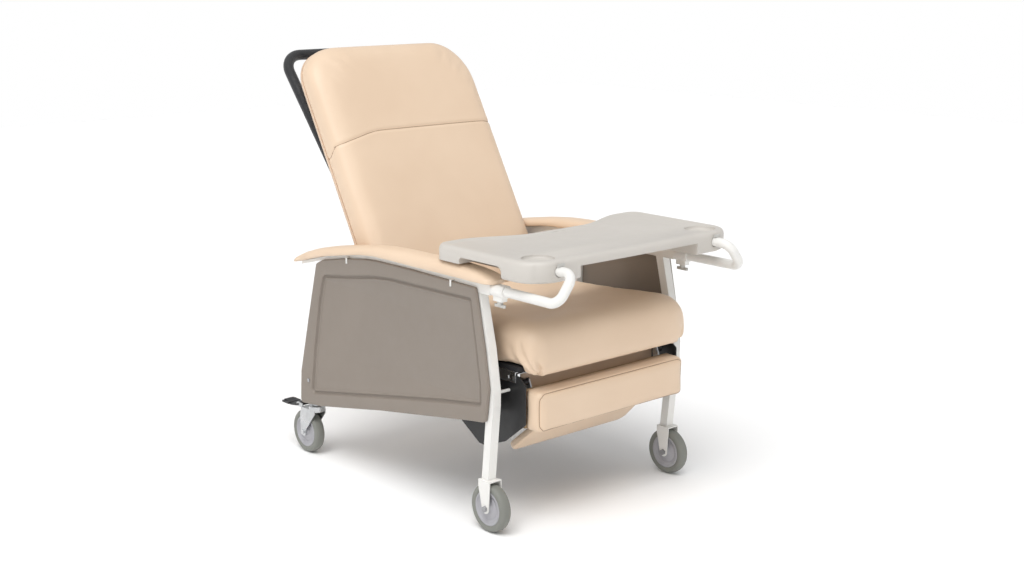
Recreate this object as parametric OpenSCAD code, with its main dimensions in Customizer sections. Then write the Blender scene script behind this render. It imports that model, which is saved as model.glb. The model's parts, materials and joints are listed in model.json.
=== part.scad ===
// Patient recliner chair, three positions, with a tray on two bent tubes.
// Millimetres, +Z up, the sitter faces -Y, the sitter's left is +X.
// Design zero: on the floor midway between the two front wheel contacts;
// everything is moved by y_shift at the end so the box is centred on the origin.

/* [Frame] */
// half distance between the two side frames, tube centre to middle of the chair
track_half = 327; // [300:1:360]
// width of the square frame tube
tube = 25; // [20:1:32]
// wall of the frame tube
wall = 1.6; // [1.2:0.1:3]
// height of the top face of the arm tube at the front
arm_top = 643; // [600:1:700]
// distance of the rear wheel contact behind the front wheel contact
wheelbase = 818; // [700:1:900]

/* [Wheels] */
// wheel radius
wheel_r = 63.5; // [50:0.5:80]
// tread width
wheel_w = 30; // [24:1:36]
// radius of the wheel axle bolts
axle_r = 5; // [4:0.5:6]
// radial play of every turning fit
play = 0.05; // [0.01:0.01:0.1]

/* [Seat and back] */
// half width of the seat cushion
seat_half = 285; // [240:1:300]
// height of the seat cushion top at the front
seat_top = 533; // [480:1:560]
// half width of the back cushion
back_half = 289; // [240:1:300]
// lean of the back from upright in degrees
back_lean = 29.5; // [10:0.5:45]
// length of the back cushion
back_len = 802; // [700:1:850]

/* [Leg rest] */
// half width of the calf pad
calf_half = 264; // [220:1:268]
// half width of the lower foot panel
foot_half = 211; // [180:1:262]
// length of the lower foot panel
foot_len = 143; // [120:1:220]

/* [Tray] */
// half width of the tray
tray_half = 359; // [300:1:400]
// depth of the tray front to back
tray_depth = 377; // [300:1:450]
// height of the tray top
tray_top = 720; // [690:1:760]
// radius of the tray tube, which slides inside the arm tube
ttube_r = 12.4; // [9:0.1:12.4]

/* [Hidden] */
y_shift = -391.6;
T = tube/2;
track_in = track_half - T;      // inner faces of the side frames
track_out = track_half + T;     // outer faces of the side frames
axle_z = wheel_r;
A = 14;                         // half width of the arm tube, wider so the tray tube fits in it
arm_wall = 1.5;
panel_x = track_half + A + 0.5; // inner face of the side panels
$fn = 48;

arm_edge = [[-14,arm_top],[452,arm_top],[545,arm_top-13.5],[660,arm_top-33],[735,arm_top-51],[836,arm_top-78]];
front_leg_line = [[41,628],[4.5,476],[-11.5,372],[-11,335],[9.8,129.6]];
rear_leg_line = [[682.5,610],[773,205],[773,163.5]];
low_rail_line = [[2.6,306.5],[765,183]];

// ---------- helpers ----------
function unit(v) = v / norm(v);
function perp(v) = [-v[1], v[0]];
// offset side of a polyline, mitred at its corners
function side(p, w) = [for (i = [0:len(p)-1])
    let (a = i > 0 ? unit(p[i]-p[i-1]) : unit(p[1]-p[0]),
         b = i < len(p)-1 ? unit(p[i+1]-p[i]) : a,
         m = unit(perp(a)+perp(b)))
    p[i] + m * w / (m * perp(a))];
function rev(l) = [for (i = [len(l)-1:-1:0]) l[i]];
function band(p, w) = concat(side(p, w), rev(side(p, -w)));
// ends of a polyline pushed out by e so the bore of a tube leaves it cleanly
function longer(p, e) = [for (i = [0:len(p)-1])
    i == 0 ? p[0] - unit(p[1]-p[0])*e : i == len(p)-1 ? p[i] + unit(p[i]-p[i-1])*e : p[i]];
// polygon with its corners rounded by arcs of radius r
function rounded(p, r, n = 5) = [for (i = [0:len(p)-1])
    let (q = p[i], a = unit(p[(i+len(p)-1)%len(p)]-q), b = unit(p[(i+1)%len(p)]-q),
         rr = is_list(r) ? r[i] : r,
         h = acos(a*b)/2, d = rr/tan(h), c = q + unit(a+b)*rr/sin(h),
         s = q + a*d, e = q + b*d,
         as = atan2(s[1]-c[1], s[0]-c[0]), ae = atan2(e[1]-c[1], e[0]-c[0]),
         dd = ae-as > 180 ? ae-as-360 : ae-as < -180 ? ae-as+360 : ae-as)
    for (k = [0:n]) c + rr*[cos(as+dd*k/n), sin(as+dd*k/n)]];
// profile drawn in (y, z), given a thickness along X and centred there
module yz(w) { rotate([90,0,90]) translate([0,0,-w/2]) linear_extrude(w) children(); }
module square_tube(p, bore = true) { difference() {
    yz(tube) polygon(band(p, T));
    if (bore) yz(tube-2*wall) polygon(band(longer(p, 5), T-wall));
} }
module xcyl(r, l) { rotate([0,90,0]) cylinder(r = r, h = l, center = true); }
module at(x, y = 0, z = 0) { translate([x, y + y_shift, z]) children(); }
// the right-hand twin of a left-hand piece
module right() { mirror([1,0,0]) children(); }
module hexa(r, h) { linear_extrude(h) polygon([for (k = [0:5]) r*[cos(60*k), sin(60*k)]]); }
module rrect(x, y, r) { translate([r,r]) { square([x-2*r, y-2*r]);
    translate([-r,0]) square([x, y-2*r]); translate([0,-r]) square([x-2*r, y]);
    for (i = [0,x-2*r], j = [0,y-2*r]) translate([i,j]) circle(r); } }

// ---------- side frames ----------
module front_leg() {
    color("white") at(track_half) difference() { square_tube(front_leg_line);
        translate([-20,0,arm_top-2*A-0.1]) cube([40,90,40]);
        translate([-20,-60,100]) cube([40,120,37.02]); }
    // peg that the seat side plate hangs on
    color("white") at((track_in+plate_x)/2+0.75, -9, 363) xcyl(4, track_in-plate_x-1.6);
}
arm_line = side(arm_edge, -A-0.05);
module arm_tube() { color("white") at(track_half) union() {
    difference() {
        yz(2*A) polygon(band(arm_line, A));
        yz(2*(A-arm_wall)) polygon(band(longer(arm_line, 5), A-arm_wall));
        translate([-30,696,400]) cube([60,300,300]); }
    // flat tail that carries the rear of the pad
    difference() { yz(2*A-1) polygon(band(side(arm_edge, -4.35), 4));
        translate([-30,-100,400]) cube([60,760,300]);
        translate([-30,806,400]) cube([60,100,300]); }
    // hooks over the top edge of the side panel
    for (h = [[568,618.5],[121,631]]) {
        translate([13,h[0],h[1]]) cube([12.3,6,2.5]);
        translate([23.8,h[0],h[1]-15]) cube([1.5,6,17.5]); }
} }
module rear_leg() { color("white") at(track_half) difference() { square_tube(rear_leg_line);
    yz(2*A) polygon(band(arm_line, A+0.01));
    translate([-20,600,590]) cube([40,200,60]); } }
module lower_rail() { color("white") at(track_half) difference() {
    yz(tube-1) polygon(band(low_rail_line, 11));
    yz(tube-1-2*wall) polygon(band(low_rail_line, 11-wall));
    yz(tube+2) polygon(band(front_leg_line, T+0.01));
    yz(tube+2) polygon(band(rear_leg_line, T+0.01));
} }
module rear_cross_tube() { color("white") at(0, 770.5, 196) difference() {
    cube([2*track_in, 20, 22], center = true);
    cube([2*track_in+2, 20-2*wall, 22-2*wall], center = true); } }
// two posts in the side frames and the tube across that carries the seat
cr = [375,371]; // middle of the cross tube, (y, z)
module seat_cradle() { color("white") at(0) {
    difference() {
        translate([0,cr[0],cr[1]]) cube([2*track_in+2, tube, 22], center = true);
        translate([0,cr[0],cr[1]]) cube([2*track_in, tube-2*wall, 22-2*wall], center = true); }
    for (s = [-1,1]) translate([s*track_half,cr[0],0]) difference() {
        translate([-(T-1),-T,244.5]) cube([tube-2, tube, arm_top-2*A-244.6]);
        translate([-(T-1)+wall,-T+wall,240]) cube([tube-2-2*wall, tube-2*wall, 400]);
        yz(tube+2) translate([-cr[0],0]) polygon(band(low_rail_line, 11.01)); }
} }

// ---------- seat ----------
plate_x = 272.5; // middle of the 3 mm seat side plates
plate_line = [[-70,285],[-70,386],[-44,404],[441,404],[449,472],[486,472],[500,425],[470,385],[420,345],[330,342],[182,262],[180,239],[108,194],[86,193],[8,223]];
module seat_side_plate() { color([0.13,0.13,0.14]) at(plate_x) difference() {
    yz(3) polygon(rounded(plate_line, [8,8,20,2,8,12,12,20,20,40,10,8,10,8,20]));
    translate([0,cr[0],cr[1]]) cube([10,tube+0.02,22.02], center = true);
    translate([0,466,450]) xcyl(6, 10);
}
    // ledges that the slide beams of the leg rest run between
    for (y = [0,196], z = [366,389.3]) color([0.13,0.13,0.14]) at(238.5, y, z) cube([plate_x-1.52-238.5, 16, 6.4]);
}
// zinc angle along the top of the side plate, with its rivets
module seat_rail() { color([0.7,0.71,0.72]) at(0) {
    difference() { union() {
        translate([274,-34,386]) cube([2.5,464,27]);
        translate([240,-34,411]) cube([36.5,464,2]); }
        translate([200,-36,404]) cube([74.01,480,7.001]);
    }
    for (y = [-6,130,270,405]) translate([277.5,y,396]) xcyl(4.5, 2);
} }
module seat_board() { color([0.2,0.19,0.19]) at(0,0,413) translate([0,-43.5,0]) linear_extrude(12)
    translate([-272,0]) rrect(544, 473, 12); }
module seat_cushion() { color([0.88,0.78,0.67]) at(0) intersection() {
    yz(2*seat_half) polygon(rounded([[-112,402],[-48,402],[-48,425],[436,425],[436,476],[462,490],[464,504],[-60,seat_top+4],[-112,seat_top-14]],[18,2,4,10,3,5,8,60,44], 6));
    translate([0,0,380]) linear_extrude(220) translate([-seat_half,-112]) rrect(2*seat_half, 576, 26);
} }

// ---------- side panels ----------
panel_line = [[-16,377],[-4,291],[60,281.5],[443,217],[718,164],[822,152],[815,249],[770,412],[722,580],[690,595],[589,614],[496,627],[447,630.5],[299,631.5],[32,627.5],[0,476]];
panel_in = [[8,382],[8,328],[181,299],[443,250],[768,188],[745,330],[714,478],[690,555],[580,570],[452,591],[386,597],[45,602],[24,480]];
module side_panel() { color([0.6,0.56,0.52]) at(0) difference() {
    translate([panel_x+4.5,0,0]) yz(9) polygon(rounded(panel_line, [20,14,2,2,2,12,40,80,14,30,60,60,60,60,8,60], 4));
    translate([panel_x+8,0,0]) yz(10) polygon(rounded(panel_in, [30,14,60,60,16,60,60,24,60,60,60,12,60], 4));
    for (p = screw_at) translate([panel_x+4.5,p[0],p[1]]) xcyl(3.05, 12);
    translate([panel_x+1,0,0]) yz(8) polygon(rounded([for (p = panel_line) [375,420] + 0.965*(p-[375,420])], [20,14,2,2,2,12,40,80,14,30,60,60,60,60,8,60], 4));
}
    // web that closes the recess
    color([0.6,0.56,0.52]) at(panel_x+3) yz(3) polygon(rounded(panel_in, [30,14,60,60,16,60,60,24,60,60,60,12,60], 4));
}
screw_at = [[775,229]];
// panel screws through the border, and the screws up into the arm pads
module frame_screws() { color([0.35,0.35,0.36]) at(0) for (s = [-1,1]) {
    for (p = screw_at) translate([s*(panel_x+4.5),p[0],p[1]]) { xcyl(3, 9);
        translate([s*5.6,0,0]) xcyl(5.5, 2.2); }
    for (y = [130,300]) translate([s*track_half,y,arm_top-2*A-2.6]) cylinder(r = 4.5, h = 2.5);
} }

// ---------- arm pads ----------
arm_pad_top = [[-31,656],[0,672],[50,684],[120,690],[400,684],[545,662],[660,641],[735,621],[806,592],[835.5,573]];
arm_pad_low = rev([[-31,arm_top+0.05],for (i = [1:4]) arm_edge[i]+[0,0.05],[835.5,arm_top-77.8]]);
module arm_pad() { color([0.88,0.78,0.67]) at(track_half-1) intersection() {
    yz(72) polygon(concat(arm_pad_top, arm_pad_low));
    translate([-36,-31,0]) linear_extrude(800) rrect(72, 866.5, 22);
    rotate([-90,0,0]) translate([0,0,-110]) linear_extrude(960) polygon([[-36,0],[-36,-679],[-22,-688],[-8,-691],[8,-691],[22,-688],[36,-679],[36,0]]);
} }

// ---------- tray clamps under the arm fronts ----------
tz = 629; // height of the lower run of the tray tube
module tray_clamp() { color("white") at(track_half) difference() {
    union() {
        translate([0,-60,tz]) rotate([-90,0,0]) cylinder(r = 16.5, h = 45.8);
        translate([-9,-52,603]) cube([18,32,20]); }
    translate([0,-62,tz]) rotate([-90,0,0]) cylinder(r = ttube_r+play*2, h = 60);
    translate([-20,-70,arm_top-0.2]) cube([40,60,10]);
    translate([0,-36,595]) cylinder(r = 4.3, h = 40);
} }
module clamp_knob() { color([0.85,0.84,0.8]) at(track_half, -36, 0) {
    translate([0,0,598]) cylinder(r = 4, h = 18);
    translate([0,0,593.5]) cylinder(r = 7.5, h = 9);
    translate([-4,-19,588]) linear_extrude(7) rrect(8, 38, 3.9);
} }

// ---------- front forks and wheels ----------
module front_fork() { color("white") at(track_half) difference() {
    union() {
        translate([-20,-17,134]) cube([40,43,3]);
        for (s = [-18.75,18.75]) translate([s,0,0]) yz(2.5) polygon([for (q = [[-17,137],[26,137],[26,118],[12.5,61]]) q, for (k = [0:8]) [0,axle_z] + 13*[cos(-10-20*k), sin(-10-20*k)], [-13,66],[-17,118]]);
    }
    translate([0,0,axle_z]) xcyl(axle_r+0.02, 60);
} }
module front_axle_bolts() { color([0.6,0.6,0.62]) for (s = [-1,1]) at(s*track_half, 0, axle_z) {
    xcyl(axle_r, 46);
    translate([s*20,0,0]) rotate([0,s*90,0]) hexa(8.5, 5);
    translate([-s*20,0,0]) rotate([0,-s*90,0]) hexa(8.5, 6);
} }
module tyre() { color([0.55,0.55,0.53]) rotate([0,90,0]) rotate_extrude($fn = 96)
    polygon([[46,-13],[50,-15],[56,-15],[60,-13],[62.6,-9],[wheel_r,-4],[wheel_r,4],[62.6,9],[60,13],[56,15],[50,15],[46,13]]); }
module hub() { color([0.7,0.7,0.72]) rotate([0,90,0]) rotate_extrude($fn = 96)
    polygon([[axle_r+play,-16.4],[13,-16.4],[14.5,-13],[17,-9],[38,-9],[40,-12.5],[46,-13],[46,13],[40,12.5],[38,9],[17,9],[14.5,13],[13,16.4],[axle_r+play,16.4]]); }

// ---------- rear casters ----------
rz = 150; // top of the caster head
stem_y = wheelbase - 45;
module caster_stems() { color([0.75,0.75,0.77]) for (s = [-1,1]) at(s*track_half, stem_y, 0) {
    translate([0,0,rz+0.4]) cylinder(r = 13.5, h = 13.1);
    translate([0,0,133]) cylinder(r = 7, h = 20);
    translate([0,0,163.5]) linear_extrude(12) square(2*(T-wall)-0.6, center = true);
} }
module rear_fork() { color([0.75,0.75,0.77]) at(track_half, stem_y, 0) difference() {
    union() {
        translate([0,0,134]) cylinder(r = 24, h = rz-134);
        translate([-20,0,134]) cube([40,52,4]);
        for (s = [-18.5,18.5]) translate([s,0,0]) yz(3) polygon([[-16,138],[52,138],[60,112],[45+13,66],for (k = [0:8]) [45,axle_z] + 13*[cos(-10-20*k), sin(-10-20*k)],[30,74],[-14,126]]);
        translate([0,45,axle_z]) xcyl(axle_r, 47);
        for (s = [-1,1]) translate([s*20,45,axle_z]) rotate([0,s*90,0]) hexa(8, 5);
    }
    translate([0,0,120]) cylinder(r = 7+play, h = 40);
    translate([0,72,140]) xcyl(3.05, 60);
}
    color([0.75,0.75,0.77]) at(track_half, stem_y, 0) difference() {
        for (s = [-17,17]) translate([s,0,0]) yz(3) polygon([[48,134],[78,134],[79,144],[72,148],[48,146]]);
        translate([0,72,140]) xcyl(3.05, 60);
    }
}
module brake_pedal() { color([0.16,0.16,0.17]) at(track_half, stem_y, 0) {
    translate([0,72,140]) xcyl(3, 42);
    translate([0,72,140]) xcyl(7, 30);
    translate([0,0,0]) yz(30) polygon(rounded([[70,146],[72,134],[118,127],[150,133],[150,139],[116,134]], [3,3,20,2.5,2.5,20]));
    translate([-22,118,130]) cube([44,33,5.5]);
} }

// ---------- back ----------
// local frame of the back: y out of its rear, z up along it
module on_back() { at(0, 461.4, 480) rotate([-back_lean,0,0]) children(); }
module back_outline(h, z0, z1, r) { translate([-h,z0]) { translate([0,0]) square([2*h, z1-z0-r]);
    translate([r,0]) square([2*h-2*r, z1-z0]);
    for (i = [r,2*h-r]) translate([i,z1-z0-r]) circle(r, $fn = 96); } }
module back_slab(h, z0, z1, r, y0, y1) { translate([0,y1,0]) rotate([90,0,0]) linear_extrude(y1-y0) back_outline(h, z0, z1, r); }
module back_cushion() { color([0.88,0.78,0.67]) on_back() intersection() {
    back_slab(back_half, 8, back_len, 98, -14, 55);
    yz(2*back_half+2) polygon(rounded([[0,8],[55,8],[55,back_len],[-14,back_len],[-14,130],[0,60]], [20,4,16,40,60,60], 6));
    translate([0,0,0]) linear_extrude(840) translate([-back_half,0]) rounded_front();
} }
module rounded_front() { polygon(rounded([[0,-14],[0,56],[2*back_half,56],[2*back_half,-14]], [30,3,3,30], 6)); }
module back_board() { color([0.8,0.7,0.58]) on_back() back_slab(back_half-6, 12, back_len-7, 92, 55, 65); }
module back_frame() { color("white") on_back() {
    for (s = [-1,1]) {
        difference() { translate([s*205,76,12]) cylinder(r = 11, h = 640);
            translate([s*205,76,10]) cylinder(r = 9.4, h = 650); }
        translate([s*241,77,26]) cube([54,20,24], center = true);
    }
    for (z = [150,420,600]) difference() { translate([0,76,z]) xcyl(9, 392);
        translate([0,76,z]) xcyl(7.4, 396);
        for (s = [-1,1]) translate([s*205,76,12]) cylinder(r = 10.9, h = 640); }
    for (s = [-1,1], z = [245,320]) difference() { translate([s*227,77,z]) cube([28,12,22], center = true);
        translate([s*245,77,z-20]) cylinder(r = 11, h = 40); translate([s*205,77,z-20]) cylinder(r = 10.5, h = 40); }
}
    // side brackets: pivot eye, crank arm down to the drive link, arm up to the uprights
    color("white") at(0) for (s = [-1,1]) translate([s*268.4,0,0]) difference() {
        yz(4) polygon(rounded([[452,452],[458,464],[476,464],[500,457],[523,447.5],[527.5,459],[559.5,516.6],[578.6,505.8],[540,438],[519.5,342],[514,328],[498,328],[492,340],[455,436]], [8,9,8,20,3,4,3,3,20,8,8,8,8,10]));
        translate([0,pivot_yz[0],pivot_yz[1]]) xcyl(6+play, 10);
        translate([0,crank_yz[0],crank_yz[1]]) xcyl(5+play, 10);
    }
}
// pin at the end of the crank arm, (y, z)
crank = 117;
pivot_yz = [466,450];
crank_yz = pivot_yz + crank*[sin(20), -cos(20)];
module back_pivot_bolts() { color([0.6,0.6,0.62]) at(0) for (s = [-1,1]) translate([0,466,450]) {
    translate([s*270,0,0]) xcyl(6, 15.6);
    translate([s*276,0,0]) xcyl(9.5, 4);
    translate([s*264,0,0]) xcyl(9.5, 3.6);
} }
// push handle: a U of round tube that leaves the back frame and leans further back
hb = 9.9; // extra lean of the handle in degrees
hx = 245; hr = 60; hk = [77,342]; // bend point in the local frame of the back
module push_handle() { color("white") on_back() {
    for (s = [-1,1]) {
        translate([s*hx,hk[0],hk[1]-120]) linear_extrude(118) ring2d(11, 9.4);
        translate([s*hx,hk[0],hk[1]]) sphere(11.4); }
    translate([0,hk[0],hk[1]]) rotate([-hb,0,0]) {
        for (s = [-1,1]) translate([s*hx,0,2]) linear_extrude(448) ring2d(11, 9.4);
        for (s = [0,1]) mirror([s,0,0]) translate([hx-hr,0,450]) rotate([90,0,0]) rotate_extrude(angle = 90, $fn = 64) translate([hr,0]) ring2d(11, 9.4);
        translate([-(hx-hr),0,450+hr]) rotate([0,90,0]) linear_extrude(2*(hx-hr)) ring2d(11, 9.4); }
} }
module handle_grip() { color([0.15,0.16,0.18]) on_back() translate([0,hk[0],hk[1]]) rotate([-hb,0,0]) {
    for (s = [-1,1]) translate([s*hx,0,60]) linear_extrude(390) ring2d(15, 11.15);
    for (s = [0,1]) mirror([s,0,0]) translate([hx-hr,0,450]) rotate([90,0,0]) rotate_extrude(angle = 90, $fn = 64) translate([hr,0]) ring2d(15, 11.15);
    translate([-(hx-hr),0,450+hr]) rotate([0,90,0]) linear_extrude(2*(hx-hr)) ring2d(15, 11.15);
} }

// ---------- leg rest drive ----------
lug_y = 150;             // slotted lug on the carrier
link_z = crank_yz[1];
link_x = 261;
module drive_link() { color([0.13,0.13,0.14]) at(0) {
    difference() {
        translate([link_x,0,0]) yz(4) union() {
            translate([lug_y,link_z-9]) square([crank_yz[0]-lug_y, 18]);
            translate([lug_y,link_z]) circle(12); translate([crank_yz[0],link_z]) circle(12); }
    }
    // pins: one turns in the back bracket, one rides in the lug slot
    translate([266,crank_yz[0],link_z]) xcyl(5, 9.2);
    translate([256,lug_y,link_z]) xcyl(5, 10);
} }
bz = 381; // height of the slide beams and of the calf hinge
by = -32; // calf hinge, front to back
module leg_rest_carrier() { color([0.13,0.13,0.14]) at(0) {
    for (s = [-1,1]) difference() { union() {
        translate([s*244,0,0]) yz(12) union() { translate([by,bz-8]) square([372, 16]); translate([by,bz]) circle(8); }
        // lug that takes the pin of the drive link
        translate([s*254,0,0]) yz(5) polygon([[lug_y-24,bz+8],[lug_y+24,bz+8],[lug_y+16,link_z-18],[lug_y-16,link_z-18]]);
        translate([s*250.5,lug_y,bz]) cube([3,48,16], center = true); }
        translate([s*254,lug_y,link_z]) for (d = [-7.5,0.5]) translate([0,0,d]) xcyl(5.65, 12);
        translate([s*254,lug_y,link_z-3.5]) cube([12,11.3,8], center = true);
        translate([s*244,by,bz]) xcyl(4+play, 20);
    }
    for (y = [60,310]) translate([0,y,bz]) cube([476.01,16,14], center = true);
    // front plate between the beams, behind the calf hinge
    translate([0,-10.5,374]) cube([476.01,3,46], center = true);
} }

// ---------- calf rest ----------
module calf_pad() { color([0.88,0.78,0.67]) at(0) intersection() {
    yz(2*calf_half) polygon(rounded([[-107,266],[-54,266],[-54,371],[-107,371]], [16,3,3,16], 6));
    translate([0,0,200]) linear_extrude(200) translate([-calf_half,-107]) rrect(2*calf_half, 80, 14);
} }
module calf_board() { color([0.62,0.5,0.36]) at(0,-54,269) translate([-calf_half+4,0,0]) cube([2*calf_half-8,9,99]); }
fh = [-33,268]; // foot hinge axis
module calf_hinge_brackets() { color([0.7,0.71,0.72]) at(0) for (s = [-1,1]) {
    // upper bracket: plate on the board and an ear to the slide beam
    difference() { union() {
        translate([s*232,0,0]) yz(4) polygon(rounded([[-45,300],[-45,368],[-36,392],[-26,391],[-22,380],[-30,300]], [1,1,5,5,6,4]));
        translate([s*222,-43.75,334]) cube([24,2.5,60], center = true); }
        translate([s*232,by,bz]) xcyl(4, 10); }
    translate([s*240,by,bz]) xcyl(4, 26);
    // lower ear for the foot panel hinge
    for (d = [-14,14]) translate([s*170+d,0,0]) yz(8) polygon([[-45,262.5],[-45,300],[-41,300],[-41,276],[fh[0],273.5],[fh[0]+5,fh[1]+2],[fh[0]+5,fh[1]-3],[fh[0],262.5]]);
    translate([s*170,fh[0],fh[1]]) xcyl(2.5, 36);
} }

// ---------- lower foot panel ----------
foot_dir = 47.8; // the stowed panel points this far behind straight down
module on_foot() { at(0, fh[0], fh[1]) rotate([foot_dir,0,0]) children(); }
// plan of the panel, moved inwards by i; it narrows towards the hinge and its lower corners are widely rounded
module foot_plan(i) { let (h = foot_half-i, b = -foot_len+i, t = -14-i)
    polygon(rounded([[-h,b],[h,b],[h-20,t],[20-h,t]], [26-i,26-i,14-i,14-i], 10)); }
module foot_board() { color([0.62,0.5,0.36]) on_foot() translate([0,8,0]) rotate([90,0,0]) linear_extrude(12) foot_plan(6.1); }
module foot_panel_cover() { color([0.88,0.78,0.67]) on_foot() difference() {
    translate([0,10,0]) rotate([90,0,0]) linear_extrude(20) foot_plan(0);
    translate([0,12,0]) rotate([90,0,0]) linear_extrude(16) foot_plan(6);
    for (s = [-1,1]) translate([s*170-9.7,7.95,-22]) cube([19.4,3,10]);
} }
module foot_hinge_leaves() { color([0.7,0.71,0.72]) on_foot() for (s = [-1,1]) difference() {
    union() {
        translate([s*170-9.5,8,-62]) cube([19,2.4,60]);
        translate([s*170,0,0]) xcyl(5, 19);
        translate([s*170-9.5,0,-5]) cube([19,10.4,8]); }
    translate([s*170,0,0]) xcyl(2.5+play, 40);
} }

// ---------- tray ----------
tf = -195; // front edge of the tray
module tray_plan(i = 0) { difference() {
    let (h = tray_half-i, f = tf+i, r = tf+tray_depth-i)
        polygon(rounded([[-h,f],[h,f],[h,r],[-h,r]], [80-i,80-i,36-i*0.8,36-i*0.8], 12));
    translate([0,tf+tray_depth+405]) circle(470+i, $fn = 160);
} }
module tray() { color([0.85,0.83,0.8]) at(0) difference() {
    union() {
        translate([0,0,697]) linear_extrude(tray_top-697) tray_plan(0);
        difference() {
            translate([0,0,672]) linear_extrude(25.5) tray_plan(2);
            translate([0,0,671]) linear_extrude(30) tray_plan(14);
            // clear of the arm pads
            for (s = [-1,1]) translate([s*(track_half+5)-58,-76,665]) cube([116,218,30]);
            // the rear corners rest just above the arm pads
            for (s = [-1,1]) translate([s*(track_half+5)-58,141,665]) cube([116,60,26.6]);
            // the front edge is thin between the corner blocks
            translate([-208,tf-5,665]) cube([416,60,36]);
        }
        for (s = [-1,1]) translate([s*277,0,0]) intersection() {
            translate([s > 0 ? -68 : -90,tf+1,666]) cube([158,118,34]);
            translate([-s*277,0,660]) linear_extrude(60) tray_plan(1); }
    }
    // shallow working area and two cup recesses
    translate([0,0,tray_top-3]) linear_extrude(5) difference() { tray_plan(20);
        for (s = [-1,1]) translate([s*288,-128]) circle(58, $fn = 96); }
    for (s = [-1,1]) translate([s*288,-128,tray_top-8]) cylinder(r = 40, h = 10, $fn = 96);
    // channels for the tray tubes
    for (s = [-1,1]) translate([s*277,tf-5,694]) rotate([-90,0,0]) cylinder(r = ttube_r+0.05, h = 130);
    for (s = [-1,1]) translate([s*277-ttube_r-2.5,tf-5,660]) cube([2*ttube_r+5,90,36.4]);
} }
ty = -240; // the riser of the tray tube
module tube_path(r, ri) {
    a = atan2(50, 694-tz); h = norm([50,694-tz]); b = 28;
    translate([track_half,0,tz]) rotate([0,-a,0]) {
        translate([0,ty+b,0]) rotate([-90,0,0]) linear_extrude(-ty-b+130) ring2d(r, ri);
        translate([0,ty+b,b]) mirror([0,1,0]) rotate([0,90,0]) rotate_extrude(angle = 90, $fn = 64) translate([b,0]) ring2d(r, ri);
        translate([0,ty,b]) linear_extrude(h-2*b) ring2d(r, ri);
        translate([0,ty+b,h-b]) mirror([0,1,0]) rotate([0,-90,0]) rotate_extrude(angle = 90, $fn = 64) translate([b,0]) ring2d(r, ri);
        translate([0,ty+b,h]) rotate([-90,0,0]) linear_extrude(-ty-b-88) ring2d(r, ri);
    }
}
module ring2d(r, ri) { difference() { circle(r, $fn = 32); circle(ri, $fn = 32); } }
module tray_tube() { color("white") at(0) tube_path(ttube_r, ttube_r-1.6); }
module tray_clips() { color([0.75,0.75,0.73]) at(0) for (s = [-1,1]) {
    difference() {
        translate([s*277-22,-150,663.9]) cube([44,18,2]);
        translate([s*277,-141,660]) cylinder(r = 2.5, h = 8); }
    // latch tab over the mouth of the channel
    translate([s*277-11,tf-4,707.2]) cube([22,3.8,6.3]);
    translate([s*277,-141,661]) cylinder(r = 4.5, h = 3);
    translate([s*277,-141,663]) cylinder(r = 2.5, h = 18.2);
} }

// ---------- pieces ----------
front_leg();  // front_leg_left
right() front_leg();  // front_leg_right
rear_leg();  // rear_leg_left
right() rear_leg();  // rear_leg_right
arm_tube();  // arm_tube_left
right() arm_tube();  // arm_tube_right
lower_rail();  // lower_rail_left
right() lower_rail();  // lower_rail_right
rear_cross_tube();
seat_cradle();
seat_side_plate();  // seat_side_plate_left
right() seat_side_plate();  // seat_side_plate_right
seat_rail();  // seat_rail_left
right() seat_rail();  // seat_rail_right
seat_board();
seat_cushion();
side_panel();  // side_panel_left
right() side_panel();  // side_panel_right
arm_pad();  // arm_pad_left
right() arm_pad();  // arm_pad_right
frame_screws();
tray_clamp();  // tray_clamp_left
right() tray_clamp();  // tray_clamp_right
front_fork();  // front_fork_left
right() front_fork();  // front_fork_right
front_axle_bolts();
caster_stems();
back_cushion();
back_board();
back_frame();
push_handle();
handle_grip();
back_pivot_bolts();
drive_link();  // drive_link_left
right() drive_link();  // drive_link_right
leg_rest_carrier();
calf_pad();
calf_board();
calf_hinge_brackets();
foot_panel_cover();
foot_board();
foot_hinge_leaves();
tray();
tray_tube();  // tray_tube_left
right() tray_tube();  // tray_tube_right
tray_clips();
clamp_knob();  // clamp_knob_left
right() clamp_knob();  // clamp_knob_right
at(track_half, 0, axle_z) tyre();  // front_tyre_left
at(-track_half, 0, axle_z) tyre();  // front_tyre_right
at(track_half, 0, axle_z) hub();  // front_hub_left
at(-track_half, 0, axle_z) hub();  // front_hub_right
at(track_half, wheelbase, axle_z) tyre();  // rear_tyre_left
at(-track_half, wheelbase, axle_z) tyre();  // rear_tyre_right
at(track_half, wheelbase, axle_z) hub();  // rear_hub_left
at(-track_half, wheelbase, axle_z) hub();  // rear_hub_right
rear_fork();  // rear_fork_left
right() rear_fork();  // rear_fork_right
brake_pedal();  // brake_pedal_left
right() brake_pedal();  // brake_pedal_right
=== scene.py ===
"""Patient recliner chair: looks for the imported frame. Metres, +Z up, the sitter faces -Y.

Positions are given from the design zero (floor, middle of the front wheel contacts)
and moved by Y0 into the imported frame."""
import json
import math

import bmesh
import bpy
from mathutils import Matrix, Vector, noise
from mathutils.bvhtree import BVHTree
from mathutils.geometry import tessellate_polygon


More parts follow.
